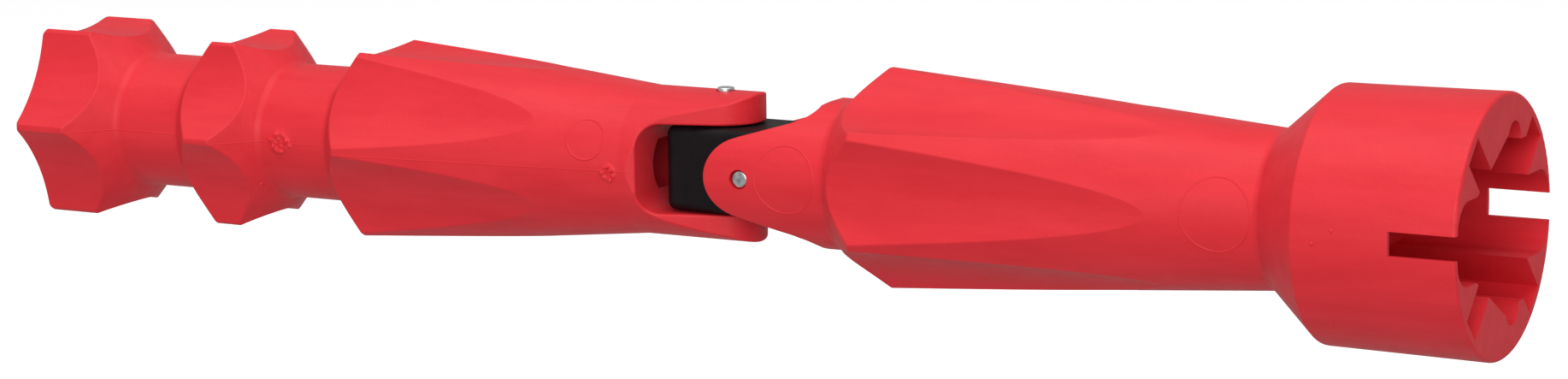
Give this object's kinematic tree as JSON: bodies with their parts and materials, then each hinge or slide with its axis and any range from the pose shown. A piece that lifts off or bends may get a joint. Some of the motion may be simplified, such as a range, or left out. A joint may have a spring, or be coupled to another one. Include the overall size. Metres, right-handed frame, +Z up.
{
  "type": "basin wrench",
  "caption": "Moulded basin wrench with a lobed grip, a universal joint and a notched socket head for tap backnuts under a basin.",
  "frame": {"origin": "bottom centre of the bounding box, with the tool straight: midway along the tool, on its axis in Y, at the lowest point of the socket head", "axes": "+X along the tool from the grip end to the socket mouth, +Z up, handle pin along Z, socket pin along Y"},
  "size_m": [0.28, 0.043, 0.0432],
  "materials": {
    "red_plastic": "satin moulded nylon, red",
    "black_plastic": "satin moulded, near black",
    "steel": "bright peened ends"
  },
  "bodies": {
    "handle": {"handle_half": "red_plastic", "handle_pin": "steel"},
    "block": {"joint_block": "black_plastic"},
    "socket": {"socket_half": "red_plastic", "socket_pin": "steel"}
  },
  "joints": [
    {"name": "handle_hinge", "type": "hinge", "parent": "handle", "child": "block", "pos_m": [-0.0012, 0, 0.0216], "axis": [0, 0, 1], "range_deg": [-50, 50]},
    {"name": "socket_hinge", "type": "hinge", "parent": "block", "child": "socket", "pos_m": [0.0082, 0, 0.0216], "axis": [0, 1, 0], "range_deg": [-50, 50]}
  ]
}
